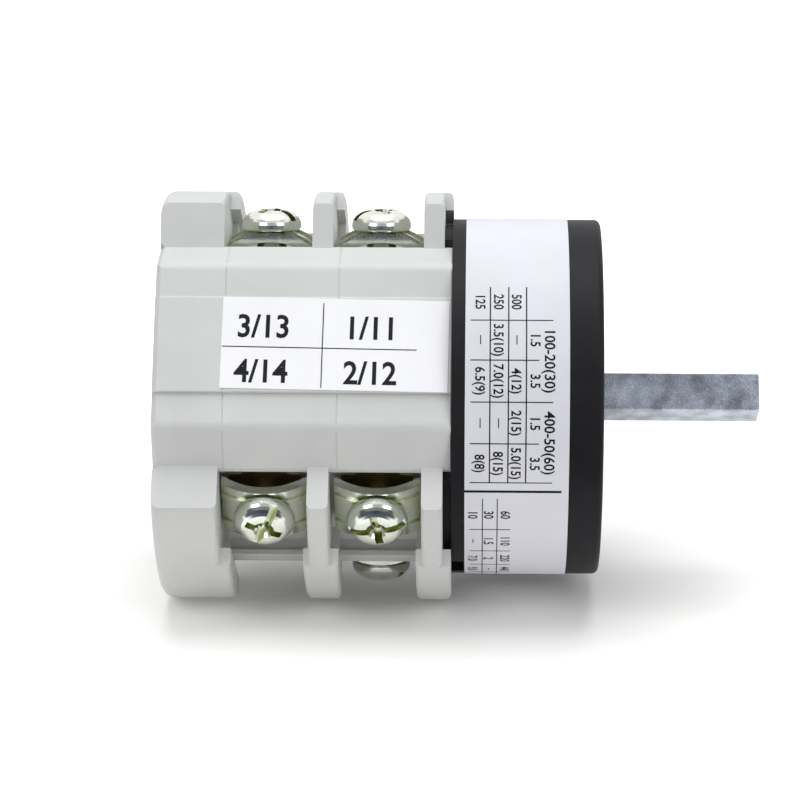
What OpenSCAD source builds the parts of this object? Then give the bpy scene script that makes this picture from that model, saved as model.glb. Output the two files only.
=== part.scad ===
// Two-stage rotary cam switch with a bare square shaft, lying on the rims of its round barriers.
// Every module is drawn upright: x points to the label panel, y up the section, and z is the
// depth behind the front face of the detent housing, so the shaft points to -z. The module
// lie() then turns the piece so that the shaft points to +X and the switch lies on a table.

/* [Resting pose] */
// How far the switch rolls to lie on the narrow flats of its barriers, degrees
lie_angle = 32; // [26:0.5:36]

/* [Shaft] */
// Side of the square shaft
shaft_side = 5; // [4:0.1:5.4]
// Length that stands out of the front face
shaft_out = 20.8; // [10:0.2:40]
// Chamfer along the four edges
shaft_edge = 0.12; // [0.06:0.02:0.6]
// Rounding of the four corners of the front end
shaft_nose = 0.8; // [0.2:0.1:1.5]

/* [Detent housing] */
// Outer diameter
housing_d = 46.2; // [45:0.1:47]
// Length from the front face to the first stage
housing_len = 19; // [18:0.5:26]
// Thickness of the round wall
housing_wall = 2; // [1.4:0.1:2.4]
// Thickness of the front wall
front_wall = 2.5; // [1.8:0.1:4]
// Radius of the front rim
rim_round = 0.75; // [0.3:0.05:1.5]
// Side of the square of four fixing holes
fixing_pitch = 28; // [26:0.5:29]
// Core diameter of the fixing thread
fixing_hole_d = 3.3; // [2.4:0.1:3.8]
// Outer diameter of the brass inserts
insert_d = 4.8; // [4.4:0.1:5.2]
// Length of the brass inserts
insert_len = 9; // [5:0.5:10]
// Width of the two locating notches in the rear rim
notch_w = 4.5; // [3:0.1:6]
// Depth of the locating notches
notch_len = 1.6; // [1:0.1:2.5]
// Length of the front bearing
bearing_len = 6; // [4:0.5:7]
// Thickness of the back plate
plate_t = 1.05; // [0.8:0.05:1.4]
// Outer diameter of the back plate
plate_d = 44.6; // [43:0.1:45]
// Half width of the back plate between its two flats
plate_half = 15.5; // [14.8:0.1:15.9]

/* [Detent] */
// Length of the star wheel
star_len = 6; // [4:0.5:7]
// Radius over the six lobes of the star wheel
star_r = 8.2; // [7.6:0.1:9]
// Depth of the notches between the lobes
star_notch = 1.2; // [0.6:0.1:1.6]
// Diameter of the detent rollers
roller_d = 4; // [3:0.2:4.4]
// Outer diameter of the detent springs
detent_spring_d = 5; // [4:0.2:5.4]
// Turn from the rest position to each stop, degrees
turn = 60; // [30:5:60]
// Thickness of the stop ring and of the stop cam
stop_t = 2; // [1.4:0.1:3]

/* [Contact stages] */
// Pitch of the stages
stage_len = 14.25; // [13.5:0.05:16]
// How far the raised label panel stays inside the housing's radius
panel_inset = 2.1; // [1.5:0.1:2.4]
// Half height of the raised label panel
panel_half = 6.3; // [5.6:0.1:8]
// Height of the raised panel over its shoulders
panel_step = 0.5; // [0.2:0.05:0.8]
// Half height of the shoulders
shoulder_half = 10.8; // [10.6:0.1:12]
// Distance from the axis to the end of the bevel above each shoulder
bevel_out = 16; // [15.4:0.1:17]
// Half height at the end of the bevel
bevel_half = 14.8; // [14.4:0.1:15.4]
// Chamfer at the seams between the stages
seam_chamfer = 0.12; // [0.08:0.02:0.4]
// Thickness of the solid part in front of each contact chamber
stage_wall = 6.3; // [5.6:0.1:6.4]
// Thickness of the side wall outside each contact chamber
side_wall = 1.1; // [0.8:0.1:1.8]

/* [Barriers] */
// How far the round barriers stand out past the detent housing
barrier_reach = 3.5; // [2:0.1:5]
// Depth of the four narrow flats on the rim of each barrier
flat_depth = 0.2; // [0.1:0.02:0.4]
// Half width of the barriers where they leave the bevels
barrier_half = 16.35; // [15:0.05:17]
// Flare of the barrier sides, degrees
barrier_flare = 9; // [0:1:15]
// Thickness of the barriers
barrier_t = 2.65; // [1.8:0.05:3.2]
// Radius along the rims of the barriers
barrier_round = 0.7; // [0.2:0.1:1.2]
// Thickness of the feet, the thick parts at the lower ends of the barriers
foot_t = 4.45; // [4:0.05:6]
// Half width of the feet
foot_half = 8; // [5:0.5:12]
// Height at which the feet begin
foot_from = 22.9; // [22.7:0.1:25]
// Half width of the post under each foot
post_half = 3; // [2:0.1:4]
// Half thickness of the web between two terminals
web_half = 1; // [0.7:0.1:1.3]
// Height of the web
web_top = 22; // [21:0.1:23]

/* [Rear cover] */
// Thickness of the rear cover
cover_len = 8.9; // [8.4:0.1:14]
// Distance from the front of the cover to its barrier block
cover_set = 0.7; // [0.4:0.1:1.2]
// Reach of the cover's feet over the stage in front of it
cover_foot_reach = 0.6; // [0.2:0.1:1.6]
// Radius round the rear rim
cover_round = 1.2; // [0.4:0.1:2]
// Chamfer along the rear edges of the side panels
cover_chamfer = 0.6; // [0.2:0.1:1]

/* [Terminals] */
// Angle of the terminal screws from the label panel, degrees
terminal_angle = 62; // [61:0.5:64]
// Distance from the axis to the floor of the terminal bays
bay_floor = 17.9; // [17.6:0.1:18.2]
// Thickness of the brass contact strip
strip_t = 1; // [0.8:0.1:1.2]
// Width of the contact strip under the clamp
strip_w = 9; // [7:0.1:9.4]
// Thickness of the clamp plates
clamp_t = 1.2; // [0.8:0.1:1.4]
// Length of the clamp plates across the bay
clamp_l = 8; // [7:0.1:8.6]
// Rise of the bow in the clamp plates
clamp_rise = 1.8; // [0.8:0.1:2]
// Gap from each end of a clamp plate to the barriers
clamp_gap = 0.2; // [0.1:0.05:0.5]
// Diameter of the terminal screws
screw_d = 3.9; // [3:0.1:4]
// Diameter of the screw heads
head_d = 7.7; // [6.6:0.1:8]
// Height of the screw heads
head_h = 2.6; // [2:0.1:2.8]
// Length of the screws under the head
screw_len = 8.6; // [7.4:0.1:9]
// Width of the driver slot
driver_slot_w = 1; // [0.6:0.1:1.2]
// Depth of the driver slot
driver_slot_h = 1.2; // [0.8:0.1:1.4]

/* [Cams and contacts] */
// Radius of the cam tracks at rest
cam_r = 8.6; // [8.2:0.1:8.8]
// Stroke of a follower for one radian of turn
cam_rate = 1; // [0.6:0.05:1]
// Gap left between the contact buttons when a contact is closed
closed_gap = 0.05; // [0.03:0.01:0.3]
// Gap between a cam track and its follower
track_gap = 0.12; // [0.05:0.01:0.3]
// Half width of the followers
follower_half = 2.3; // [1.8:0.1:2.5]
// Thickness of the bridge contacts
bridge_t = 1; // [0.8:0.1:1.2]
// Half length of the bridge contacts
bridge_half = 7.4; // [7:0.1:8]
// Thickness of the contact buttons
button_t = 0.7; // [0.4:0.1:0.8]
// Diameter of the contact buttons
button_d = 3; // [2:0.1:3.4]
// Outer diameter of the contact springs
contact_spring_d = 4.8; // [4:0.1:5.4]

/* [Tie screws] */
// Distance of each tie screw from the axis
tie_out = 15.5; // [15:0.1:16]
// Diameter of the tie screws
tie_d = 3; // [2.4:0.1:3.2]

/* [Labels] */
// Length of the terminal label along the stages
label_len = 28.4; // [20:0.2:30]
// Height of the terminal label
label_h = 12; // [9:0.1:12.2]
// Distance from the detent housing to the terminal label
label_gap = 0.4; // [0.1:0.1:3]
// Tilt with which the terminal label was stuck on, degrees
label_tilt = 0.9; // [0:0.1:1.2]
// Width of the label round the housing
wrap_w = 13; // [8:0.5:14]
// Distance from the front face to the label round the housing
wrap_from = 4.3; // [2:0.1:5]
// Thickness of both labels
label_t = 0.1; // [0.06:0.01:0.2]

/* [Hidden] */
$fn = 96;
// Small overlap that makes each cut run past a face
cut = 1;
// Running clearance of the rotor in its bearings
running = 0.05;
// Clearance of the square holes on the shaft
square_fit = 0.03;
// Clearance round a piece that drops into its pocket
pocket_fit = 0.15;
// Clearance round the back plate of the housing
plate_fit = 0.05;

// Depths of the stage fronts and of the rear cover
panel_out = housing_d / 2 - panel_inset;
label_from = housing_len + label_gap;
stage_front = [housing_len, housing_len + stage_len];
cover_front = housing_len + 2 * stage_len;
rear = cover_front + cover_len;

// Rotor
shaft_corner = shaft_side * sqrt(2) / 2;
journal_wall = 1.86;
journal_r = shaft_corner + journal_wall;
hub_r = journal_r + 1.5;
hub_bore_r = hub_r + 0.4;
rear_journal_r = shaft_corner + 1.2;
rear_bearing_len = 3;
clip_from = cover_front + rear_bearing_len + 0.3;
clip_t = 0.8;
clip_groove_r = shaft_side / 2 + 0.1;
clip_r = shaft_corner + 1.1;
shaft_end = clip_from + clip_t + 1;
clip_room_r = clip_r + 1.2;
front_gap = 0.3;
bearing_boss_r = journal_r + 2.1;

// Detent: six lobes on the star wheel and one roller on each side of it
cavity_r = housing_d / 2 - housing_wall;
star_from = bearing_len;
lobe_count = 6;
roller_gap = 0.15;
roller_at = star_r + roller_gap + roller_d / 2;
slide_half = 4;
slide_from = roller_at - 0.6;
slide_to = roller_at + roller_d / 2 + 1.6;
rail_t = 1.2;
rail_from = roller_at - 0.9;
detent_spring_to = sqrt(cavity_r * cavity_r - detent_spring_d * detent_spring_d / 4) - 0.15;

// Heads of the tie screws, sunk in the rear cover
tie_head_d = tie_d * 1.85;
tie_head_h = tie_d * 0.7;
tie_head_room = tie_head_h + 0.4;

// Stop: the tab of the stop cam turns between the two faces of the stop ring
stop_from = star_from + star_len + 0.8;
tab_r = 11;
tab_half_angle = 12;
stop_half_angle = turn + tab_half_angle + 0.5;
stop_hub_r = hub_r - 0.5;
stop_ring_r = 13;
stop_ring_in = hub_r + 0.7;

// Barriers: round, with narrow flats whose normals stand at flat_angle to the label panel
barrier_r = housing_d / 2 + barrier_reach;
barrier_flat = barrier_r - flat_depth;
flat_angle = 90 - lie_angle;
web_lip = 0.6;

// Terminal bays between the barriers
terminal_span = stage_len - plate_t - barrier_t + cover_set;
terminal_set = plate_t + barrier_t + terminal_span / 2;
clamp_w = terminal_span - 2 * clamp_gap;
strip_top = bay_floor + strip_t;
clamp_crest = strip_top + clamp_t + clamp_rise;
clamp_seat = clamp_crest - 0.1;
riser_at = -4.55;
slot_wall = 1.85;
slot_h = 2.4;
clamp_rib_h = 0.3;
clamp_rib_w = 0.5;
nut_r = 3;
nut_len = 2.5;

// Cams: tracks that rise or fall evenly over lobe_span on each side of a follower
lobe_margin = 15;
lobe_span = turn + lobe_margin;
rad = PI / 180;
cam_top = cam_r + cam_rate * lobe_span * rad;
chamber_r = cam_top + 0.4;
stroke = cam_rate * turn * rad;
ledge = cam_r + 1.1;
fixed_button_top = ledge + strip_t + button_t;
bridge_in = fixed_button_top + closed_gap + stroke + button_t;
bridge_out = bridge_in + bridge_t;
rib_top = bridge_in - stroke - 0.25;
rib_from = ledge + 0.4;
rib_gap = 0.1;
rib_t = 1;
nose_tip = cam_r + track_gap;
chamber_out = panel_out - panel_step - side_wall;
chamber_half = 10.2;
button_at = 5.4;
strip_in = follower_half + rib_gap + rib_t + 0.5;
strip_end = chamber_half - 0.2;
riser_foot = bay_floor - 5;
tongue_half = 2.85;
stud_r = 1.1;

// Terminals as [stage, side of the label panel or of the back, upper or lower]
TERMINALS = [[0, 1, 1], [0, 1, -1], [1, 1, 1], [1, 1, -1], [0, -1, 1], [0, -1, -1]];
// Angles at which the driver slots came to stand
SLOT_TURNS = [20, -10, -35, -66, 80, 40];
// Contacts as [stage, side]
CONTACTS = [[0, 1], [0, -1], [1, 1]];
CONTACT_NAMES = ["front_1", "back_1", "front_2"];

// Turns a piece from its upright drawing to where it lies on the table
module lie() {
    rotate([-lie_angle, 0, 0]) rotate([90, 0, -90]) children();
}

// Points of a path whose corners [x, y, radius] are rounded
function corner(a, b, c, r, n = 5) =
    let (
        u = (a - b) / norm(a - b),
        v = (c - b) / norm(c - b),
        half = acos(u * v) / 2,
        m = b + (u + v) / norm(u + v) * r / sin(half),
        s = b + u * r / tan(half) - m,
        start = atan2(s.y, s.x),
        sweep = (2 * half - 180) * sign(u.x * v.y - u.y * v.x)
    )
    [for (i = [0:n]) m + r * [cos(start + sweep * i / n), sin(start + sweep * i / n)]];

function flat(p) = [p.x, p.y];

function rounded(path) = [
    for (i = [0:len(path) - 1])
        let (a = path[(i + len(path) - 1) % len(path)], b = path[i], c = path[(i + 1) % len(path)])
        each b.z == 0 ? [flat(b)] : corner(flat(a), flat(b), flat(c), b.z)
];

function reversed(path) = [for (i = [len(path) - 1:-1:0]) path[i]];

// A path in the first quadrant repeated in all four
function four_ways(path) = concat(
    path,
    [for (p = reversed(path)) [-p.x, p.y, p.z]],
    [for (p = path) [-p.x, -p.y, p.z]],
    [for (p = reversed(path)) [p.x, -p.y, p.z]]
);

// A point given by its distance out along a terminal screw and across it
function at_terminal(out, across) = [
    out * cos(terminal_angle) - across * sin(terminal_angle),
    out * sin(terminal_angle) + across * cos(terminal_angle)
];

function floor_at(x) = (bay_floor - x * cos(terminal_angle)) / sin(terminal_angle);

// Outline of the stages: panel, shoulder, bevel, open slot and bay floor
slot_edge = riser_at - slot_wall;
slot_foot = at_terminal(bay_floor, slot_edge);
slot_lip = at_terminal(bay_floor + slot_h, slot_edge);
BODY_OUTLINE = rounded(four_ways([
    [panel_out, panel_half, 0.2],
    [panel_out - panel_step, panel_half, 0],
    [panel_out - panel_step, shoulder_half, 2],
    [bevel_out, bevel_half, 0.8],
    [slot_lip.x, slot_lip.y, 0],
    [slot_foot.x, slot_foot.y, 0],
    [web_half, floor_at(web_half), 0]
]));

// Half width of the barriers at a height
function side_at(y) = barrier_half + (y - bevel_half) * tan(barrier_flare);

BARRIER_SIDES = [
    [side_at(0), 0], [side_at(barrier_r), barrier_r], [-side_at(barrier_r), barrier_r],
    [-side_at(0), 0], [-side_at(barrier_r), -barrier_r], [side_at(barrier_r), -barrier_r]
];

// Half section of a disc whose rim is rounded at both ends
function rim_section(r, from, to, front_round, rear_round) = concat(
    [[0, from]],
    [for (a = [-90:22.5:0]) [r, from] + front_round * [cos(a) - 1, sin(a) + 1]],
    [for (a = [0:22.5:90]) [r, to] + rear_round * [cos(a) - 1, sin(a) - 1]],
    [[0, to]]
);

module slab(outline, from, to) {
    translate([0, 0, from]) linear_extrude(to - from) polygon(outline);
}

// A box from one corner to the other
module block(low, high) {
    translate(low) cube(high - low);
}

// Both ends of the section, above and below
module both_ends() {
    for (m = [0, 1]) mirror([0, m, 0]) children();
}

module both_sides() {
    for (m = [0, 1]) mirror([m, 0, 0]) children();
}

// Round disc with the four narrow flats
module barrier_disc(from, to, rear_round) {
    intersection() {
        rotate_extrude($fn = 180) polygon(rim_section(barrier_r, from, to, barrier_round, rear_round));
        flat_pair(from, to, flat_angle);
        flat_pair(from, to, -flat_angle);
    }
}

// Slab between two opposite flats
module flat_pair(from, to, angle) {
    rotate([0, 0, angle])
        block([-barrier_flat, -barrier_r - cut, from - cut], [barrier_flat, barrier_r + cut, to + cut]);
}

module barrier(from, to, rear_round) {
    intersection() {
        barrier_disc(from, to, rear_round);
        slab(BARRIER_SIDES, from - cut, to + cut);
    }
}

// Thick part at the end of a barrier, and the post that carries it
module foot(from, to, rear_round) {
    intersection() {
        barrier_disc(from, to, rear_round);
        block([-foot_half, foot_from, from - cut], [foot_half, barrier_r + cut, to + cut]);
    }
}

module post(from, to) {
    block([-post_half, bay_floor, from], [post_half, foot_from + 0.1, to]);
}

module lower_end() {
    mirror([0, 1, 0]) children();
}

// Square bars laid along the outer edges of the side panels, to cut their chamfers
module panel_chamfers(depth, size) {
    side = panel_out - panel_step;
    bevel_angle = atan2(bevel_half - shoulder_half, bevel_out - side);
    both_sides() {
        translate([panel_out, 0, depth]) chamfer_bar(2 * panel_half + 0.02, 90, size);
        both_ends() {
            translate([side, (panel_half + shoulder_half) / 2, depth])
                chamfer_bar(shoulder_half - panel_half, 90, size);
            translate([(side + bevel_out) / 2, (shoulder_half + bevel_half) / 2, depth])
                chamfer_bar(norm([side - bevel_out, bevel_half - shoulder_half]) + 0.4, bevel_angle, size);
        }
    }
}

module chamfer_bar(length, angle, size) {
    rotate([0, 0, angle]) rotate([45, 0, 0])
        cube([length, size * sqrt(2), size * sqrt(2)], center = true);
}

// Places a piece drawn for the upper front terminal at any of the four terminals
module at_quadrant(side, level) {
    mirror([side < 0 ? 1 : 0, 0, 0]) mirror([0, level < 0 ? 1 : 0, 0]) children();
}

// Pockets for the tongue, the nut and the screw end of one terminal
module terminal_pocket(depth) {
    tongue = tongue_half + pocket_fit;
    rotate([0, 0, terminal_angle]) {
        block(
            [riser_foot - 0.4, riser_at - strip_t / 2 - pocket_fit, depth - tongue],
            [bay_floor + cut, riser_at + strip_t / 2 + pocket_fit, depth + tongue]
        );
        translate([bay_floor - nut_len - pocket_fit, 0, depth]) rotate([0, 90, 0])
            cylinder(h = nut_len + pocket_fit + cut, r = nut_r + pocket_fit, $fn = 48);
        translate([clamp_seat - screw_len - 0.4, 0, depth]) rotate([0, 90, 0])
            cylinder(h = screw_len, d = screw_d + 0.5, $fn = 48);
    }
}

// Chamber for the cam, and on each side for the bridge contact, its follower and its spring
module contact_chamber(from, to) {
    translate([0, 0, from]) cylinder(h = to - from, r = chamber_r);
    both_sides() block([ledge, -chamber_half, from], [chamber_out, chamber_half, to]);
}

module guide_ribs(from, to) {
    both_sides() both_ends() block(
        [rib_from, follower_half + rib_gap, from],
        [rib_top, follower_half + rib_gap + rib_t, to]
    );
}

module tie_holes(from, to, d) {
    both_ends() translate([0, tie_out, from]) cylinder(h = to - from, d = d, $fn = 48);
}

module stage_housing(n) {
    front = stage_front[n];
    back = front + stage_len;
    chamber = front + stage_wall;
    color("#d2d4d2") {
        difference() {
            union() {
                slab(BODY_OUTLINE, front, back);
                barrier(front + plate_t, front + plate_t + barrier_t, barrier_round);
                lower_end() {
                    foot(front, front + foot_t, barrier_round);
                    post(front, front + foot_t);
                }
                both_ends() {
                    foot(front, front + plate_t + barrier_t, barrier_round);
                    post(front, front + plate_t + barrier_t);
                    block([-web_half, bay_floor, front], [web_half, web_top, back]);
                    block(
                        [-web_half - web_lip, web_top - web_lip, front + plate_t],
                        [web_half + web_lip, web_top, back]
                    );
                }
            }
            if (n == 0) plate_shape(front - cut, front + plate_t, plate_fit);
            translate([0, 0, front - cut]) cylinder(h = stage_wall + 2 * cut, r = hub_bore_r);
            contact_chamber(chamber, back + cut);
            for (side = [1, -1], level = [1, -1])
                at_quadrant(side, level) terminal_pocket(front + terminal_set);
            tie_holes(front - cut, back + cut, tie_d + 0.4);
            panel_chamfers(front, seam_chamfer);
            panel_chamfers(back, seam_chamfer);
        }
        guide_ribs(chamber - 0.1, back);
    }
}

// Disc with two flats, as the back plate and as the recess that it drops into
module plate_shape(from, to, fit) {
    intersection() {
        translate([0, 0, from]) cylinder(h = to - from, r = plate_d / 2 + fit, $fn = 180);
        block([-plate_half - fit, -plate_d, from], [plate_half + fit, plate_d, to]);
    }
}

module rear_cover() {
    color("#d2d4d2") difference() {
        union() {
            slab(BODY_OUTLINE, cover_front, rear);
            barrier(cover_front + cover_set, rear, cover_round);
            both_ends() {
                foot(cover_front - cover_foot_reach, rear, cover_round);
                post(cover_front, cover_front + cover_set + 0.1);
                block(
                    [-web_half, bay_floor, cover_front],
                    [web_half, web_top, cover_front + cover_set + 0.1]
                );
            }
        }
        translate([0, 0, cover_front - cut])
            cylinder(h = rear_bearing_len + 2 * cut, r = rear_journal_r + running);
        translate([0, 0, cover_front + rear_bearing_len])
            cylinder(h = shaft_end + 0.5 - cover_front - rear_bearing_len, r = clip_room_r);
        tie_holes(cover_front - cut, rear + cut, tie_d + 0.4);
        tie_holes(rear - tie_head_room, rear + cut, tie_head_d + 0.6);
        panel_chamfers(cover_front, seam_chamfer);
        panel_chamfers(rear, cover_chamfer);
    }
}

module at_fixings() {
    for (x = [-1, 1], y = [-1, 1]) translate([x * fixing_pitch / 2, y * fixing_pitch / 2, 0]) children();
}

// Turned outside of the detent housing
module housing_outside() {
    r = housing_d / 2;
    rotate_extrude($fn = 180) polygon(concat(
        [[0, 0]],
        [for (a = [-90:15:0]) [r, 0] + rim_round * [cos(a) - 1, sin(a) + 1]],
        [[r, housing_len], [0, housing_len]]
    ));
}

// Bosses and rails that stand inside the detent housing
module housing_inside() {
    translate([0, 0, front_wall - cut]) cylinder(h = bearing_len - front_wall + cut, r = bearing_boss_r);
    at_fixings() cylinder(h = insert_len + 2, d = insert_d + 1.8, $fn = 48);
    tie_holes(front_wall - cut, stop_from, 2 * tie_d);
    both_sides() both_ends() block(
        [rail_from, slide_half + rib_gap, front_wall - cut],
        [cavity_r + cut, slide_half + rib_gap + rail_t, star_from + star_len + 0.4]
    );
}

module detent_housing() {
    color("#2e2e32") difference() {
        housing_outside();
        difference() {
            translate([0, 0, front_wall]) cylinder(h = housing_len, r = cavity_r, $fn = 180);
            housing_inside();
        }
        translate([0, 0, -cut]) cylinder(h = bearing_len + 2 * cut, r = journal_r + running);
        translate([0, 0, -cut]) cylinder(h = cut + 0.4, r = journal_r + 1.4);
        at_fixings() translate([0, 0, -cut]) cylinder(h = insert_len + cut, d = insert_d, $fn = 48);
        tie_holes(front_wall + 1.5, stop_from + cut, tie_d);
        both_ends() block(
            [-notch_w / 2, cavity_r - cut, housing_len - notch_len],
            [notch_w / 2, housing_d / 2 + cut, housing_len + cut]
        );
    }
}

module housing_back_plate() {
    color("#2e2e32") difference() {
        union() {
            plate_shape(housing_len, housing_len + plate_t, 0);
            tie_holes(stop_from + stop_t, housing_len + 0.1, 2 * tie_d);
        }
        translate([0, 0, housing_len - cut]) cylinder(h = plate_t + 2 * cut, r = hub_bore_r);
        tie_holes(stop_from, housing_len + plate_t + cut, tie_d + 0.4);
    }
}

module mounting_inserts() {
    color("#b8963c") at_fixings() difference() {
        cylinder(h = insert_len, d = insert_d, $fn = 48);
        translate([0, 0, -cut]) cylinder(h = insert_len + 2 * cut, d = fixing_hole_d, $fn = 48);
    }
}

module tie_screws() {
    seat = rear - tie_head_room;
    color("#b9bcc0") both_ends() translate([0, tie_out, 0]) difference() {
        union() {
            translate([0, 0, front_wall + 2.5]) cylinder(h = seat - front_wall - 2.5, d = tie_d, $fn = 48);
            translate([0, 0, seat]) cylinder(h = tie_head_h, d = tie_head_d, $fn = 64);
        }
        block([-tie_head_d, -0.4, seat + tie_head_h - 0.9], [tie_head_d, 0.4, rear]);
    }
}

// Ring sector between two angles, drawn flat
module sector(r, from, to) {
    step = (to - from) / 12;
    polygon(concat([[0, 0]], [for (i = [0:12]) r * [cos(from + i * step), sin(from + i * step)]]));
}

module stop_ring() {
    color("#8c9094") translate([0, 0, stop_from]) difference() {
        union() {
            cylinder(h = stop_t, r = stop_ring_r);
            both_ends() {
                translate([0, tie_out, 0]) cylinder(h = stop_t, d = 2 * tie_d, $fn = 48);
                block([-tie_d, stop_ring_r - 1, 0], [tie_d, tie_out, stop_t]);
            }
        }
        translate([0, 0, -cut]) cylinder(h = stop_t + 2 * cut, r = stop_ring_in);
        intersection() {
            translate([0, 0, -cut]) cylinder(h = stop_t + 2 * cut, r = tab_r + 0.4);
            translate([0, 0, -cut]) linear_extrude(stop_t + 2 * cut)
                sector(2 * tab_r, 90 - stop_half_angle, 90 + stop_half_angle);
        }
        translate([0, 0, -stop_from]) tie_holes(stop_from - cut, stop_from + stop_t + cut, tie_d + 0.4);
    }
}

module shaft_hole(from, to) {
    side = shaft_side + 2 * square_fit;
    translate([0, 0, (from + to) / 2]) cube([side, side, to - from + 2 * cut], center = true);
}

module stop_cam() {
    from = stop_from + 0.05;
    to = stop_from + stop_t - 0.05;
    color("#8c9094") difference() {
        union() {
            translate([0, 0, from]) cylinder(h = to - from, r = stop_hub_r);
            intersection() {
                translate([0, 0, from]) cylinder(h = to - from, r = tab_r);
                translate([0, 0, from]) linear_extrude(to - from)
                    sector(2 * tab_r, 90 - tab_half_angle, 90 + tab_half_angle);
            }
        }
        shaft_hole(from, to);
    }
}

module shaft() {
    half = shaft_side / 2;
    color("#b4b8bf") difference() {
        block([-half, -half, -shaft_out], [half, half, shaft_end]);
        for (a = [45:90:315]) rotate([0, 0, a])
            block(
                [shaft_corner - shaft_edge / sqrt(2), -half, -shaft_out - cut],
                [shaft_corner + cut, half, shaft_end + cut]
            );
        translate([0, 0, -shaft_out]) difference() {
            cylinder(h = 2 * shaft_nose, r = shaft_side, center = true);
            cylinder(
                h = 3 * shaft_nose, r1 = half - 0.5 * shaft_nose, r2 = half + 2.5 * shaft_nose, center = true
            );
        }
        translate([0, 0, clip_from - 0.05]) difference() {
            cylinder(h = clip_t + 0.1, r = shaft_side);
            translate([0, 0, -cut]) cylinder(h = clip_t + 2 * cut, r = clip_groove_r);
        }
    }
}

module retaining_clip() {
    color("#8c9094") translate([0, 0, clip_from]) difference() {
        cylinder(h = clip_t, r = clip_r);
        translate([0, 0, -cut]) cylinder(h = clip_t + 2 * cut, r = clip_groove_r + 0.02);
        block([-clip_groove_r * 0.9, 0, -cut], [clip_groove_r * 0.9, clip_r + cut, clip_t + cut]);
    }
}

// Star wheel with six notches, and the front journal in one piece with it
module detent_star() {
    steps = 20 * lobe_count;
    color("#3a3a3e") difference() {
        union() {
            translate([0, 0, front_gap]) cylinder(h = star_from - front_gap + 0.1, r = journal_r);
            translate([0, 0, star_from + 0.1]) linear_extrude(star_len) polygon([
                for (i = [0:steps - 1])
                    let (a = 360 * i / steps, r = star_r - star_notch * (1 + cos(lobe_count * a)) / 2)
                    r * [cos(a), sin(a)]
            ]);
        }
        shaft_hole(front_gap, star_from + star_len + 0.1);
    }
}

module detent_slides() {
    star_to = star_from + star_len;
    seat_r = roller_d / 2 + 0.1;
    color("#c9c5b4") both_sides() difference() {
        block([slide_from, -slide_half, star_from + 0.1], [slide_to, slide_half, star_to]);
        translate([roller_at, 0, star_from - cut]) cylinder(h = star_len + 2 * cut, r = seat_r, $fn = 48);
        block([slide_from - cut, -seat_r, star_from - cut], [roller_at, seat_r, star_to + cut]);
    }
}

module detent_rollers() {
    color("#c0c4c8") both_sides() translate([roller_at, 0, star_from + 0.3])
        cylinder(h = star_len - 0.5, d = roller_d, $fn = 64);
}

// Coil spring along z, with a round wire swept along a helix
module coil_spring(d, wire, length, turns) {
    sides = 6;
    per_turn = 14;
    count = ceil(turns * per_turn);
    mean = (d - wire) / 2;
    rise = (length - wire) / count;
    points = [
        for (i = [0:count]) let (a = 360 * i / per_turn)
        for (j = [0:sides - 1]) let (b = 360 * j / sides, out = mean + wire / 2 * cos(b))
        [out * cos(a), out * sin(a), wire / 2 + rise * i + wire / 2 * sin(b)]
    ];
    walls = [
        for (i = [0:count - 1]) for (j = [0:sides - 1]) let (k = (j + 1) % sides)
        [i * sides + j, i * sides + k, (i + 1) * sides + k, (i + 1) * sides + j]
    ];
    first = [for (j = [sides - 1:-1:0]) j];
    last = [for (j = [0:sides - 1]) count * sides + j];
    polyhedron(points, concat([first, last], walls), convexity = 10);
}

module detent_springs() {
    color("#a8acb0") both_sides() translate([slide_to, 0, star_from + star_len / 2]) rotate([0, 90, 0])
        coil_spring(detent_spring_d, 0.8, detent_spring_to - slide_to, 4);
}

// Cam track radius at an angle, falling from the front follower to the back follower
function lobe(a) = abs(a) <= lobe_span ? a
    : abs(a) >= 180 - lobe_span ? sign(a) * 180 - a
    : sign(a) * lobe_span;

module cam(n, hub_from, hub_to) {
    steps = 72;
    from = stage_front[n] + stage_wall + 0.2;
    to = stage_front[n] + stage_len - 0.2;
    rate = n == 0 ? -cam_rate : cam_rate;
    color("#b9402e") difference() {
        union() {
            translate([0, 0, hub_from]) cylinder(h = hub_to - hub_from, r = hub_r);
            translate([0, 0, from]) linear_extrude(to - from) polygon([
                for (i = [0:steps - 1])
                    let (a = 360 * i / steps - 180, r = cam_r + rate * rad * lobe(a))
                    r * [cos(a), sin(a)]
            ]);
            if (n == 1) translate([0, 0, hub_to - 0.1])
                cylinder(h = rear_bearing_len + cover_front - hub_to, r = rear_journal_r);
        }
        shaft_hole(hub_from, cover_front + rear_bearing_len);
    }
}

// Turns a piece drawn on the label side to the side of one contact
module at_contact(c) {
    rotate([0, 0, c[1] > 0 ? 0 : 180]) children();
}

module follower(c) {
    from = stage_front[c[0]] + stage_wall + 0.1;
    to = stage_front[c[0]] + stage_len - 0.1;
    middle = stage_front[c[0]] + terminal_set;
    color("#c9c5b4") at_contact(c) {
        intersection() {
            translate([nose_tip + follower_half, 0, from])
                cylinder(h = to - from, r = follower_half, $fn = 64);
            block([nose_tip - cut, -follower_half, from], [bridge_in, follower_half, to]);
        }
        block([nose_tip + follower_half, -follower_half, from], [bridge_in, follower_half, to]);
        translate([bridge_in - 0.1, 0, middle]) rotate([0, 90, 0])
            cylinder(h = bridge_t + 1.1, r = stud_r, $fn = 48);
    }
}

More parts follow.
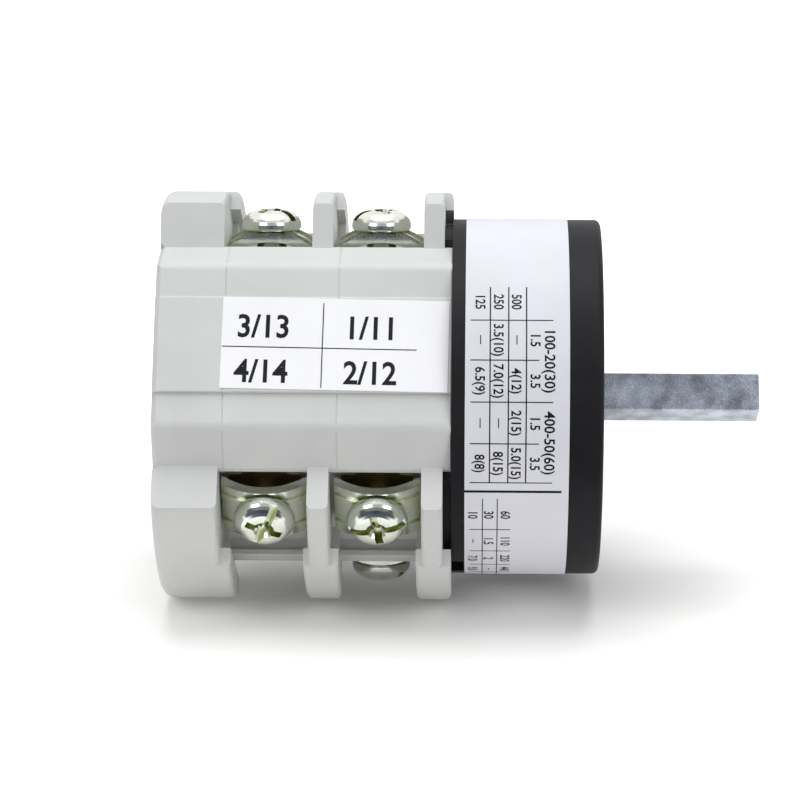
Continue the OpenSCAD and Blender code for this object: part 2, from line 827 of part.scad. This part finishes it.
module bridge_contact(c) {
    middle = stage_front[c[0]] + terminal_set;
    color("#c08a5a") at_contact(c) translate([0, 0, middle]) difference() {
        union() {
            block([bridge_in, -bridge_half, -tongue_half], [bridge_out, bridge_half, tongue_half]);
            both_ends() translate([bridge_in - button_t, button_at, 0]) rotate([0, 90, 0])
                cylinder(h = button_t + 0.1, d = button_d, $fn = 48);
        }
        translate([bridge_in - cut, 0, 0]) rotate([0, 90, 0])
            cylinder(h = bridge_t + 2 * cut, r = stud_r + 0.1, $fn = 48);
    }
}

module contact_spring(c) {
    middle = stage_front[c[0]] + terminal_set;
    color("#a8acb0") at_contact(c) translate([bridge_out, 0, middle]) rotate([0, 90, 0])
        coil_spring(contact_spring_d, 0.6, chamber_out - bridge_out, 3);
}

// Brass strip: tongue with the contact button inside, riser, and the tapped strip under the clamp
module fixed_contact(t) {
    depth = stage_front[t[0]] + terminal_set;
    color("#b8963c") at_quadrant(t[1], t[2]) translate([0, 0, depth]) {
        block([ledge, strip_in, -tongue_half], [ledge + strip_t, strip_end, tongue_half]);
        translate([ledge + strip_t - 0.1, button_at, 0]) rotate([0, 90, 0])
            cylinder(h = button_t + 0.1, d = button_d, $fn = 48);
        rotate([0, 0, terminal_angle]) difference() {
            union() {
                block(
                    [riser_foot, riser_at - strip_t / 2, -tongue_half],
                    [strip_top, riser_at + strip_t / 2, tongue_half]
                );
                block([bay_floor, riser_at, -strip_w / 2], [strip_top, clamp_l / 2 + 0.6, strip_w / 2]);
                translate([bay_floor - nut_len, 0, 0]) rotate([0, 90, 0])
                    cylinder(h = nut_len + 0.1, r = nut_r, $fn = 48);
            }
            translate([bay_floor - nut_len - cut, 0, 0]) rotate([0, 90, 0])
                cylinder(h = nut_len + strip_t + 2 * cut, d = screw_d + 0.1, $fn = 48);
        }
    }
}

// Plate bowed across the bay, with two raised ribs that run out from under the screw head
module clamp_plate(t) {
    depth = stage_front[t[0]] + terminal_set;
    half = clamp_w / 2;
    bow_r = (half * half + clamp_rise * clamp_rise) / (2 * clamp_rise);
    rib_at = clamp_l * 0.29;
    color("#b9bcb4") at_quadrant(t[1], t[2]) translate([0, 0, depth]) rotate([0, 0, terminal_angle])
        difference() {
            intersection() {
                difference() {
                    union() {
                        bow(bow_r, clamp_l);
                        for (s = [-1, 1]) translate([0, s * rib_at, 0])
                            bow(bow_r + clamp_rib_h, clamp_rib_w);
                    }
                    translate([clamp_crest - bow_r, 0, 0]) rotate([90, 0, 0])
                        cylinder(h = clamp_l + 2 * cut, r = bow_r - clamp_t, center = true, $fn = 180);
                }
                block([strip_top, -clamp_l / 2, -half], [clamp_crest + cut, clamp_l / 2, half]);
            }
            translate([strip_top - cut, 0, 0]) rotate([0, 90, 0])
                cylinder(h = clamp_rise + clamp_t + 2 * cut, d = screw_d + 0.3, $fn = 48);
            translate([clamp_seat, 0, 0]) rotate([0, 90, 0])
                cylinder(h = 2, d = head_d + 0.2, $fn = 64);
        }

    module bow(r, length) {
        translate([clamp_crest - bow_r, 0, 0]) rotate([90, 0, 0])
            cylinder(h = length, r = r, center = true, $fn = 180);
    }
}

// Domed pan-head screw with a slot right across and a shorter slot that crosses it
module terminal_screw(t, slot_turn) {
    depth = stage_front[t[0]] + terminal_set;
    r = head_d / 2;
    foot_round = head_h * 0.2;
    dome_r = r * 0.6;
    dome_h = head_h - foot_round - 0.1;
    slot = driver_slot_w / 2;
    cross_r = r * 0.62;
    color("#c2c4bc") at_quadrant(t[1], t[2]) translate([0, 0, depth])
        rotate([0, 0, terminal_angle]) translate([clamp_seat, 0, 0]) rotate([0, 90, 0]) difference() {
            rotate_extrude() polygon(concat(
                [[0, -screw_len], [screw_d / 2 - 0.5, -screw_len], [screw_d / 2, -screw_len + 0.5]],
                [[screw_d / 2, 0]],
                [for (a = [-90:30:0]) [r, 0] + foot_round * [cos(a) - 1, sin(a) + 1]],
                [for (a = [0:11.25:90]) [r + dome_r * (cos(a) - 1), head_h + dome_h * (sin(a) - 1)]],
                [[0, head_h]]
            ));
            rotate([0, 0, slot_turn]) {
                block([-r - cut, -slot, head_h - driver_slot_h], [r + cut, slot, head_h + cut]);
                block([-slot, -cross_r, head_h - driver_slot_h], [slot, cross_r, head_h + cut]);
            }
            translate([0, 0, head_h - driver_slot_h - 0.5])
                cylinder(h = driver_slot_h + 0.51, r1 = 0.4, r2 = 1.35, $fn = 48);
        }
}

module terminal_label() {
    color("#eef0f4") translate([panel_out, 0, label_from + label_len / 2]) rotate([-label_tilt, 0, 0])
        block([0, -label_h / 2, -label_len / 2], [label_t, label_h / 2, label_len / 2]);
}

// Label wrapped round the housing, on the side that the label panel faces
module rating_label() {
    wrap = 220;
    color("#eef0f4") translate([0, 0, wrap_from]) rotate([0, 0, -wrap / 2 - lie_angle / 2])
        rotate_extrude(angle = wrap, $fn = 180)
            translate([housing_d / 2, 0]) square([label_t, wrap_w]);
}

lie() detent_housing();
lie() housing_back_plate();
lie() stage_housing(0);  // stage_housing_1
lie() stage_housing(1);  // stage_housing_2
lie() rear_cover();
lie() mounting_inserts();
lie() tie_screws();
lie() stop_ring();
lie() detent_slides();
lie() detent_rollers();
lie() detent_springs();
lie() terminal_label();
lie() rating_label();
for (i = [0:5]) {
    lie() fixed_contact(TERMINALS[i]);
    lie() clamp_plate(TERMINALS[i]);
    lie() terminal_screw(TERMINALS[i], SLOT_TURNS[i]);
}
lie() shaft();
lie() detent_star();
lie() stop_cam();
lie() cam(0, stop_from + stop_t + 0.1, stage_front[1] - 0.05);  // cam_1
lie() cam(1, stage_front[1] + 0.05, cover_front - 0.1);  // cam_2
lie() retaining_clip();
for (i = [0:2]) {
    lie() follower(CONTACTS[i]);
    lie() bridge_contact(CONTACTS[i]);
    lie() contact_spring(CONTACTS[i]);
}
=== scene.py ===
"""Looks of the two-stage cam switch: its camera, light and table, then each piece in turn."""
import math

import bpy
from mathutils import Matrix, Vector


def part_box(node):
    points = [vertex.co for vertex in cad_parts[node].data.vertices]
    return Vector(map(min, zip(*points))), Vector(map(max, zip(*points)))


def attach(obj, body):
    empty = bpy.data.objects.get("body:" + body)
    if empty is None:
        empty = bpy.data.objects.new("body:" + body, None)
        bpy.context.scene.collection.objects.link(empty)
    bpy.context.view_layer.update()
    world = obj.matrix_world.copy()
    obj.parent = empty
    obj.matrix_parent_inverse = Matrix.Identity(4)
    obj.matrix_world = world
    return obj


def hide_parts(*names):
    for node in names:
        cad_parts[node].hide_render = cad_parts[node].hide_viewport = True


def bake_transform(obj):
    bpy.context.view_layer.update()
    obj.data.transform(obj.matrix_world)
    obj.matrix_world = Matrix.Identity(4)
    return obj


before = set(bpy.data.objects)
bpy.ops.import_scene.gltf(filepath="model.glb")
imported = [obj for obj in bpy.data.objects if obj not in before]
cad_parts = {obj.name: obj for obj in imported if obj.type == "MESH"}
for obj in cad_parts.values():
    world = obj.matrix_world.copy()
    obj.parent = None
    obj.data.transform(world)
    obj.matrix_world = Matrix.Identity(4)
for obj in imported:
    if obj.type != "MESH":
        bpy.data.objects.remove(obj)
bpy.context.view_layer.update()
scene = bpy.context.scene
scene.view_settings.view_transform = "Standard"

# Camera: a long lens a little above the shaft, level with the middle of the black housing and
# turned slightly towards the rear cover, as in the photograph. Its places are in millimetres.
MM = 0.001
camera_rise = math.radians(14.5)
camera_distance = 430
camera_along, aim_along = -15.4, -25.9
aim_drop = 0.59
camera_data = bpy.data.cameras.new("camera")
camera_data.sensor_width = 36
camera_data.lens = 147.8
camera_data.clip_start = 0.05
camera_data.clip_end = 20
camera = bpy.data.objects.new("camera", camera_data)
scene.collection.objects.link(camera)
rise_cos, rise_sin = math.cos(camera_rise), math.sin(camera_rise)
camera.location = Vector((camera_along, -camera_distance * rise_cos, camera_distance * rise_sin)) * MM
aim = Vector((aim_along, -aim_drop * rise_sin, -aim_drop * rise_cos)) * MM
camera.rotation_euler = (aim - camera.location).to_track_quat("-Z", "Y").to_euler()
scene.camera = camera


# Light: a soft box overhead and one on each side of the camera, in a pale room with a white
# background. The room has a dark end in front of the switch, which the screw heads reflect.
def node(tree, kind, feeds, **settings):
    """A new shader node: its settings, then what feeds its inputs, each a value or an output."""
    made = tree.nodes.new("ShaderNode" + kind)
    for setting, value in settings.items():
        setattr(made, setting, value)
    for socket, feed in feeds.items():
        if isinstance(feed, bpy.types.NodeSocket):
            tree.links.new(feed, made.inputs[socket])
        else:
            made.inputs[socket].default_value = feed
    return made


def ramp(tree, factor, stops):
    """Colour or grey ramp with (place, value) stops."""
    made = node(tree, "ValToRGB", {"Fac": factor})
    elements = made.color_ramp.elements
    for place, value in stops[1:-1]:
        elements.new(place)
    for element, (place, value) in zip(elements, stops):
        element.position = place
        element.color = (*value, 1) if isinstance(value, tuple) else (value, value, value, 1)
    return made.outputs["Color"]


def fade(tree, value, start, end, low=0.0, high=1.0, ease="SMOOTHSTEP"):
    """Goes from low to high as the value goes from start to end."""
    limits = {"From Min": start, "From Max": end, "To Min": low, "To Max": high}
    made = node(tree, "MapRange", {"Value": value, **limits}, interpolation_type=ease)
    return made.outputs["Result"]


def combined(tree, operation, first, second):
    """The larger, or the product, of two values."""
    return node(tree, "Math", {0: first, 1: second}, operation=operation).outputs[0]


world = bpy.data.worlds.new("pale_room")
scene.world = world
world.use_nodes = True
room = world.node_tree
room_direction = node(room, "TexCoord", {}).outputs["Generated"]
room_axes = node(room, "SeparateXYZ", {"Vector": room_direction}).outputs
room_height = fade(room, room_axes["Z"], -1, 1, ease="LINEAR")
room_floor, room_skirting = (0.03, 0.032, 0.04), (0.1, 0.105, 0.12)
room_walls, room_ceiling = (0.08, 0.082, 0.09), (0.56, 0.57, 0.59)
room_shades = ramp(room, room_height, [
    (0.3, room_floor), (0.47, room_skirting), (0.53, room_walls), (0.9, room_ceiling)])
dark_end, dark_shade = (0, -1, 0), (0.045, 0.05, 0.08, 1)
dark_core, dark_rim, core_share = 0.15, 0.3, 0.06
dark_apart = node(room, "VectorMath", {0: room_direction, 1: dark_end}, operation="DISTANCE")
dark_past = fade(room, dark_apart.outputs["Value"], dark_core, dark_rim, low=core_share)
room_colours = {"Factor": dark_past, 6: dark_shade, 7: room_shades}
room_shaded = node(room, "Mix", room_colours, data_type="RGBA")
room_light = room.nodes["Background"]
room_light.inputs["Strength"].default_value = 1
room.links.new(room_shaded.outputs[2], room_light.inputs["Color"])
room_white = node(room, "Background", {"Color": (1, 1, 1, 1)})
room_ray = node(room, "LightPath", {}).outputs
white_start, white_full = -0.3, 0
room_behind = fade(room, room_axes["Y"], white_start, white_full)
room_mirrored = combined(room, "MAXIMUM", room_ray["Is Glossy Ray"], room_ray["Is Transmission Ray"])
room_in_metal = combined(room, "MULTIPLY", room_mirrored, room_behind)
room_seen = combined(room, "MAXIMUM", room_in_metal, room_ray["Is Camera Ray"])
room_mix = node(room, "MixShader", {
    "Fac": room_seen, 1: room_light.outputs[0], 2: room_white.outputs[0]})
room.links.new(room_mix.outputs[0], room.nodes["World Output"].inputs["Surface"])

lit_place = Vector((-0.02, 0, 0))
for name, place, size, watts in [
    ("overhead_box", (-0.03, 0, 0.6), (0.5, 0.4), 2.2),
    ("left_box", (-0.4, -0.5, 0.4), (0.3, 0.4), 1.05),
    ("right_box", (0.4, -0.5, 0.4), (0.3, 0.4), 1.05),
]:
    lamp_data = bpy.data.lights.new(name, "AREA")
    lamp_data.shape = "RECTANGLE"
    lamp_data.size, lamp_data.size_y = size
    lamp_data.energy = watts
    lamp = bpy.data.objects.new(name, lamp_data)
    lamp.location = place
    lamp.rotation_euler = (lit_place - lamp.location).to_track_quat("-Z", "Y").to_euler()
    scene.collection.objects.link(lamp)

# Table: matt white card under the barriers that the switch lies on, which ends in front of the
# picture. Away from the switch it glows for camera, mirror and glass rays, to meet the white
# background. For all other rays it glows faintly everywhere, painted bounce light on the switch.
# Its front part is a painted reflection: a dark sheet that only mirror rays see.
table_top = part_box("stage_housing_1")[0][2]
table_half, table_near, table_far = 0.9, -0.12, 0.9
table_mesh = bpy.data.meshes.new("table")
table_mesh.from_pydata(
    [(-table_half, table_near, table_top), (table_half, table_near, table_top),
     (table_half, table_far, table_top), (-table_half, table_far, table_top)],
    [], [(0, 1, 2, 3)])
table = bpy.data.objects.new("table", table_mesh)
scene.collection.objects.link(table)
white_card = bpy.data.materials.new("white_card")
white_card.use_nodes = True
card = white_card.node_tree
card_shader = card.nodes["Principled BSDF"]
card_shader.inputs["Base Color"].default_value = (0.9, 0.89, 0.87, 1)
card_shader.inputs["Roughness"].default_value = 0.8
card_shader.inputs["Specular IOR Level"].default_value = 0.2
card_place = node(card, "TexCoord", {}).outputs["Object"]
card_middle = (-0.02, 0, table_top)
glow_near, glow_far = 0.018, 0.15
# The faint glow for all rays but camera, mirror and glass ones is painted bounce light on the switch
# from below.
glow_least, glow_most, bounce_glow = 0.06, 0.8, 0.1
card_away = node(card, "VectorMath", {0: card_place, 1: card_middle}, operation="DISTANCE")
card_far_glow = fade(
    card, card_away.outputs["Value"], glow_near, glow_far, glow_least, glow_most, ease="LINEAR")
card_ray = node(card, "LightPath", {}).outputs
card_mirrored = combined(card, "MAXIMUM", card_ray["Is Glossy Ray"], card_ray["Is Transmission Ray"])
card_seen = combined(card, "MAXIMUM", card_mirrored, card_ray["Is Camera Ray"])
card_strength = node(card, "Mix", {"Factor": card_seen, 2: bounce_glow, 3: card_far_glow})
card_glow = node(card, "Emission", {"Strength": card_strength.outputs[0]})
card_lit = node(card, "AddShader", {0: card_shader.outputs[0], 1: card_glow.outputs[0]})
# Painted reflection: to mirror rays the card's front part is a dark bluish sheet, which the screw
# heads show.
front_start, front_full = -0.036, -0.046
card_axes = node(card, "SeparateXYZ", {"Vector": card_place}).outputs
card_in_front = fade(card, card_axes["Y"], front_start, front_full)
painted_reflection_mask = combined(card, "MULTIPLY", card_in_front, card_ray["Is Glossy Ray"])
mirror_dark_sheet = node(card, "BsdfDiffuse", {"Color": (0.07, 0.078, 0.11, 1)})
card_mix = node(card, "MixShader", {
    "Fac": painted_reflection_mask, 1: card_lit.outputs[0], 2: mirror_dark_sheet.outputs[0]})
card.links.new(card_mix.outputs[0], card.nodes["Material Output"].inputs["Surface"])
table_mesh.materials.append(white_card)

# Grey mouldings: both contact stages and the rear cover, in light-grey glass-filled nylon with a
# fine spark-eroded grain. Every edge has the small radius that the mould leaves on it.
noise_low, noise_high = 0.3, 0.7
cloud_cells, cloud_depth, cloud_gloss = 130, 0.02, 0.04
grain_detail = 4
edge_segments, edge_angle = 3, math.radians(28)


def noise(tree, cells, detail=3.0, stretch=(1, 1, 1)):
    """Noise over the piece's own coordinates in metres, at that many cells per metre."""
    place = node(tree, "TexCoord", {}).outputs["Object"]
    fitted = node(tree, "Mapping", {"Vector": place, "Scale": stretch}).outputs["Vector"]
    return node(tree, "TexNoise", {"Vector": fitted, "Scale": cells, "Detail": detail}).outputs["Fac"]


def bump(tree, height, distance, below=None):
    """Bump of that height in millimetres, on top of another bump."""
    made = node(tree, "Bump", {"Distance": distance * MM, "Height": height})
    if below:
        tree.links.new(below, made.inputs["Normal"])
    return made.outputs["Normal"]


def moulded(name, dark, light, rough, grain, grain_height, specular=0.5):
    """Moulded plastic: faint clouding of its colour and gloss over an eroded grain."""
    made = bpy.data.materials.new(name)
    made.use_nodes = True
    tree = made.node_tree
    shader = tree.nodes["Principled BSDF"]
    shader.inputs["Specular IOR Level"].default_value = specular
    cloud = noise(tree, cloud_cells)
    fine = noise(tree, grain, grain_detail)
    colour = ramp(tree, cloud, [(noise_low, dark), (noise_high, light)])
    gloss = ramp(tree, cloud, [(noise_low, rough - cloud_gloss), (noise_high, rough + cloud_gloss)])
    clouding = bump(tree, cloud, cloud_depth)
    tree.links.new(colour, shader.inputs["Base Color"])
    tree.links.new(gloss, shader.inputs["Roughness"])
    tree.links.new(bump(tree, fine, grain_height, clouding), shader.inputs["Normal"])
    return made


def finish_edges(name, width):
    """Rounds every sharp edge of a CAD node and shades the rest smoothly."""
    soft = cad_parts[name].modifiers.new("edges", "BEVEL")
    soft.width = width * MM
    soft.segments = edge_segments
    soft.limit_method = "ANGLE"
    soft.angle_limit = edge_angle
    soft.harden_normals = True


def paint(name, material):
    """Gives a CAD node its material."""
    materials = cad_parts[name].data.materials
    materials.clear()
    materials.append(material)


grey_nylon = moulded("grey_nylon", (0.605, 0.615, 0.6), (0.645, 0.655, 0.64), 0.5, 5200, 0.006)
for name in ["stage_housing_1", "stage_housing_2", "rear_cover"]:
    paint(name, grey_nylon)
    finish_edges(name, 0.15)

# Black mouldings: the round detent housing and its back plate, in black nylon with a finer grain
# than the grey. The two long tie screws hold them on the stages.
black_nylon = moulded(
    "black_nylon", (0.012, 0.012, 0.014), (0.018, 0.018, 0.021), 0.5, 7000, 0.005, specular=0.12)
for name in ["detent_housing", "housing_back_plate"]:
    paint(name, black_nylon)
    finish_edges(name, 0.12)

# Shaft: 5 mm square bar, cut to length and zinc plated, with the mottled bloom of a bright
# passivated coat over the fine dimples of the drawn bar.
cloud_detail, dimple_detail = 5, 3
dimples_to_cloud = 9
less_rough, more_rough = 0.08, 0.1
recess_reach, recess_samples = 1.5, 8
recess_shut, recess_open = 0.35, 0.8


def plated(name, dark, light, rough, cells, dimples, stretch=(1, 1, 1), recess_tint_and_shade=None):
    """Metal with two sizes of mottling in its colour and gloss, and, when given, a recess colour laid
    into its hollows by occlusion: partly tint, partly painted shade.
    """
    made = bpy.data.materials.new(name)
    made.use_nodes = True
    tree = made.node_tree
    shader = tree.nodes["Principled BSDF"]
    shader.inputs["Metallic"].default_value = 1
    cloud = noise(tree, cells, cloud_detail, stretch)
    fine = noise(tree, cells * dimples_to_cloud, dimple_detail, stretch)
    tint = ramp(tree, cloud, [(noise_low, dark), (noise_high, light)])
    gloss = ramp(tree, fine, [(noise_low, rough - less_rough), (noise_high, rough + more_rough)])
    if recess_tint_and_shade:
        # Painted shade in part: occlusion blends the darker, yellow-green recess colour into hollows
        # and contact lines.
        air = node(tree, "AmbientOcclusion", {"Distance": recess_reach * MM}, samples=recess_samples)
        opened = ramp(tree, air.outputs["AO"], [(recess_shut, 0.0), (recess_open, 1.0)])
        tints = {"Factor": opened, 6: (*recess_tint_and_shade, 1), 7: tint}
        tint = node(tree, "Mix", tints, data_type="RGBA").outputs[2]
    tree.links.new(tint, shader.inputs["Base Color"])
    tree.links.new(gloss, shader.inputs["Roughness"])
    tree.links.new(bump(tree, fine, dimples), shader.inputs["Normal"])
    return made


shaft_zinc = plated("shaft_zinc", (0.23, 0.25, 0.29), (0.56, 0.61, 0.7), 0.18, 420, 0.03)
paint("shaft", shaft_zinc)
finish_edges("shaft", 0.06)

# Terminals: bowed clamp plates and pan-head screws in zinc-plated steel with a faintly
# yellow-green passivation, on strips of rolled brass. Their recesses and contact lines are painted
# darker and more yellow-green, partly passivation tint and partly painted shade. The four
# mounting inserts in the front face are brass too.
terminal_zinc = plated(
    "terminal_zinc", (0.78, 0.81, 0.71), (0.9, 0.92, 0.84), 0.16, 900, 0.002, recess_tint_and_shade=(0.4, 0.44, 0.18))
clamp_zinc = plated(
    "clamp_zinc", (0.78, 0.81, 0.7), (0.95, 0.97, 0.86), 0.2, 900, 0.002, recess_tint_and_shade=(0.62, 0.65, 0.45))
rolled_brass = plated(
    "rolled_brass", (0.22, 0.17, 0.07), (0.36, 0.29, 0.13), 0.35, 600, 0.003, stretch=(1, 6, 6))
for terminal in range(1, 7):
    for piece, finish, edge in [
        ("terminal_screw", terminal_zinc, 0.1),
        ("clamp_plate", clamp_zinc, 0.08),
        ("fixed_contact", rolled_brass, 0.06),
    ]:
        paint(f"{piece}_{terminal}", finish)
        finish_edges(f"{piece}_{terminal}", edge)
paint("mounting_inserts", rolled_brass)

# Works inside: stop parts, rollers and tie screws in bare steel, detent springs and clip in spring
# steel, cams in red acetal, star wheel, slides and followers in ivory acetal, and bridge contacts
# in copper strip. They are stacked on the shaft and closed in by the mouldings.
bare_steel = plated("bare_steel", (0.42, 0.43, 0.45), (0.58, 0.59, 0.6), 0.3, 500, 0.003)
spring_wire = plated("spring_wire", (0.38, 0.39, 0.41), (0.52, 0.53, 0.55), 0.25, 900, 0.002)
copper_strip = plated("copper_strip", (0.62, 0.33, 0.2), (0.8, 0.47, 0.3), 0.3, 600, 0.003)
ivory_acetal = moulded("ivory_acetal", (0.55, 0.52, 0.44), (0.6, 0.57, 0.49), 0.4, 4000, 0.003)
red_acetal = moulded("red_acetal", (0.42, 0.05, 0.035), (0.48, 0.065, 0.045), 0.4, 4000, 0.003)
for name in ["stop_ring", "stop_cam", "detent_rollers", "tie_screws"]:
    paint(name, bare_steel)
for name in ["detent_springs", "retaining_clip"]:
    paint(name, spring_wire)
for name in ["cam_1", "cam_2"]:
    paint(name, red_acetal)
for name in ["detent_star", "detent_slides"]:
    paint(name, ivory_acetal)
for contact in ["front_1", "back_1", "front_2"]:
    paint(f"follower_{contact}", ivory_acetal)
    paint(f"bridge_contact_{contact}", copper_strip)

# Contact springs: coils of spring steel wire, each held between the housing's wall and its bridge
# contact. In the switch the outer coil stays on the wall and the inner one goes with the contact;
# here each is one still copy of its CAD node in spring steel.
lie_angle = math.radians(32)
panel_normal = Vector((0, -math.cos(lie_angle), math.sin(lie_angle)))
for contact, side in [("front_1", 1), ("back_1", -1), ("front_2", 1)]:
    coil_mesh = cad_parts[f"contact_spring_{contact}"].data.copy()
    coil_mesh.materials.clear()
    coil_mesh.materials.append(spring_wire)
    coil = bpy.data.objects.new(f"coil_{contact}", coil_mesh)
    scene.collection.objects.link(coil)
    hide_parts(f"contact_spring_{contact}")
    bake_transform(coil)

# Terminal label: white film stuck across both stages, a little askew, and printed in bold black
# with a cross of lines and a plain terminal number in each quarter. Sizes are in millimetres.
bright_film = moulded("bright_film", (0.92, 0.92, 0.94), (0.95, 0.95, 0.97), 0.45, 2500, 0.001)
label_ink = moulded(
    "label_ink", (0.006, 0.006, 0.007), (0.016, 0.016, 0.018), 0.6, 3500, 0.001, specular=0.2)
paint("terminal_label", bright_film)
ink_height, ink_root = 0.012, 0.03
ink_step = 0.8
cap_share = 0.73


def ink_number(text, size, width, weight):
    """Points and faces of a printed number, centred, that stands up through its film."""
    curve = bpy.data.curves.new("number", "FONT")
    curve.body = text
    curve.size = size
    curve.align_x = "CENTER"
    curve.offset = weight
    curve.extrude = (ink_height + ink_root) / 2
    curve.resolution_u = 3
    written = bpy.data.objects.new("number", curve)
    scene.collection.objects.link(written)
    cut_out = written.to_mesh()
    down, out = size * cap_share / 2, (ink_height - ink_root) / 2
    points = [(v.co.x * width, v.co.y - down, v.co.z + out) for v in cut_out.vertices]
    faces = [tuple(f.vertices) for f in cut_out.polygons]
    written.to_mesh_clear()
    bpy.data.objects.remove(written)
    return points, faces


def ink_line(start, end, thick):
    """Points and faces of a printed line, cut into short lengths so that it can be bent."""
    start, end = Vector(start), Vector(end)
    along = (end - start).normalized()
    across = Vector((-along.y, along.x)) * thick / 2
    count = max(1, round((end - start).length / ink_step))
    points, faces = [], []
    for i in range(count + 1):
        middle = start.lerp(end, i / count)
        for side, height in [(-1, -ink_root), (1, -ink_root), (1, ink_height), (-1, ink_height)]:
            points.append((*(middle + across * side), height))
        if i:
            for j in range(4):
                k = (j + 1) % 4
                faces.append((4 * i - 4 + j, 4 * i - 4 + k, 4 * i + k, 4 * i + j))
    faces.append((3, 2, 1, 0))
    faces.append((4 * count, 4 * count + 1, 4 * count + 2, 4 * count + 3))
    return points, faces


def ink_print(name, marks, place):
    """One mesh of all the marks of a label, each point laid on the film by place()."""
    points, faces = [], []
    for mark_points, mark_faces in marks:
        faces += [tuple(len(points) + i for i in face) for face in mark_faces]
        points += [place(*point) for point in mark_points]
    mesh = bpy.data.meshes.new(name)
    mesh.from_pydata(points, [], faces)
    mesh.materials.append(label_ink)
    printed = bpy.data.objects.new(name, mesh)
    scene.collection.objects.link(printed)
    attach(printed, "base")


def moved(mark, x, y):
    """A mark moved to its place on the label."""
    return [(x + px, y + py, pz) for px, py, pz in mark[0]], mark[1]


film_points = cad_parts["terminal_label"].data.vertices
film_corners = {tuple(round(c, 7) for c in v.co) for v in film_points}
film_outermost = sorted(map(Vector, film_corners), key=panel_normal.dot)[-4:]
film_face = sorted(film_outermost, key=lambda corner: corner.x)
film_middle = sum(film_face, Vector()) / 4
film_right = (film_face[2] + film_face[3] - film_face[0] - film_face[1]).normalized()
film_up = panel_normal.cross(film_right)


def on_terminal_label(x, y, height):
    """Lays a point on the flat film, from its middle."""
    return film_middle + (film_right * x + film_up * y + panel_normal * height) * MM


divider_x, divider_y = -1.55, -0.55
divider_left, divider_right = -14.1, 10.25
divider_low, divider_high = -5.75, 5.4
divider_thick = 0.14
bold_type = {"size": 4.2, "width": 0.9, "weight": 0.08}
terminal_marks = [
    ink_line((divider_x, divider_low), (divider_x, divider_high), divider_thick),
    ink_line((divider_left, divider_y), (divider_right, divider_y), divider_thick),
]
for text, x, y in [("3/13", -9, 2.3), ("1/11", 4.5, 2.3), ("4/14", -9.1, -3.6), ("2/12", 4.5, -3.6)]:
    terminal_marks.append(moved(ink_number(text, **bold_type), x, y))
ink_print("terminal_numbers", terminal_marks, on_terminal_label)

# Rating label: white film wrapped round the black housing and printed with two ruled tables of
# plain numbers that read along the circumference. Places on it are in millimetres down round the
# film from its level line, and along the shaft from its left edge.
label_film = moulded(
    "label_film", (0.725, 0.73, 0.775), (0.765, 0.77, 0.82), 0.75, 2500, 0.001, specular=0.05)
paint("rating_label", label_film)
reading_tilt = camera_rise
wrapped_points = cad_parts["rating_label"].data.vertices
film_radius = max(math.hypot(v.co.y, v.co.z) for v in wrapped_points) / MM
film_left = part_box("rating_label")[0][0] / MM


def on_rating_label(down, along, height):
    """Lays a point on the wrapped film."""
    angle = reading_tilt - down / film_radius
    reach = film_radius + height
    return Vector((film_left + along, -reach * math.cos(angle), reach * math.sin(angle))) * MM


def cell_mark(text, down, along, dash, thick, number_type):
    """The number in a cell of a table, or a dash in place of one."""
    if text == "-":
        return ink_line((down - dash, along), (down + dash, along), thick)
    return moved(ink_number(text, **number_type), down, along)


column_pitch = 5.24
columns = [-9.73 + column_pitch * i for i in range(5)]
row_start, row_lines, row_thick = -14.6, [3.1, 5.39, 7.61], 0.16
column_start, short_column, long_column, column_thick = 0.66, 9.2, 10.94, 0.13
rating_marks = [ink_line((row_start, along), (columns[-1], along), row_thick) for along in row_lines]
for i, down in enumerate(columns):
    column_end = short_column if i % 2 else long_column
    rating_marks.append(ink_line((down, column_start), (down, column_end), column_thick))
closing_down, closing_end, closing_thick = 12.52, 12.1, 0.33
rating_marks.append(ink_line((closing_down, 0), (closing_down, closing_end), closing_thick))
cell_dash = 0.6
cell_type = {"size": 1.72, "width": 0.88, "weight": 0.03}
for along, texts in [
    (1.9, ["125", "-", "6.5(9)", "-", "8(8)"]),
    (4.19, ["250", "3.5(10)", "7.0(12)", "-", "8(15)"]),
    (6.42, ["500", "-", "4(12)", "2(15)", "5.0(15)"]),
    (8.77, ["", "1.5", "3.5", "1.5", "3.5"]),
]:
    for i, text in enumerate(texts):
        down = columns[0] + column_pitch * (i - 0.5)
        if text:
            rating_marks.append(cell_mark(text, down, along, cell_dash, column_thick, cell_type))
heading_along = 10.57
heading_type = {"size": 1.85, "width": 1, "weight": 0.03}
for i, text in [(1, "100-20(30)"), (3, "400-50(60)")]:
    rating_marks.append(moved(ink_number(text, **heading_type), columns[i], heading_along))

lower_start, lower_end, lower_thick = 13.6, 34, 0.12
lower_columns, lower_rows = [18.8, 23.5, 27.7, 31.9], [2.27, 4.12]
lower_column_start, lower_column_end = 0.64, 5.8
lower_dash = 0.4
lower_type = {"size": 1.68, "width": 0.8, "weight": 0.025}
for along in lower_rows:
    rating_marks.append(ink_line((lower_start, along), (lower_end, along), lower_thick))
for down in lower_columns:
    rating_marks.append(ink_line((down, lower_column_start), (down, lower_column_end), lower_thick))
for along, texts in [
    (1.1, ["10", "-", "7.0", "9.0"]),
    (3.1, ["30", "1.5", "2", "-"]),
    (5.2, ["60", "110", "220", "440"]),
]:
    for text, before, after in zip(texts, [lower_start, *lower_columns], lower_columns):
        down = (after + before) / 2
        rating_marks.append(cell_mark(text, down, along, lower_dash, lower_thick, lower_type))
ink_print("rating_numbers", rating_marks, on_rating_label)
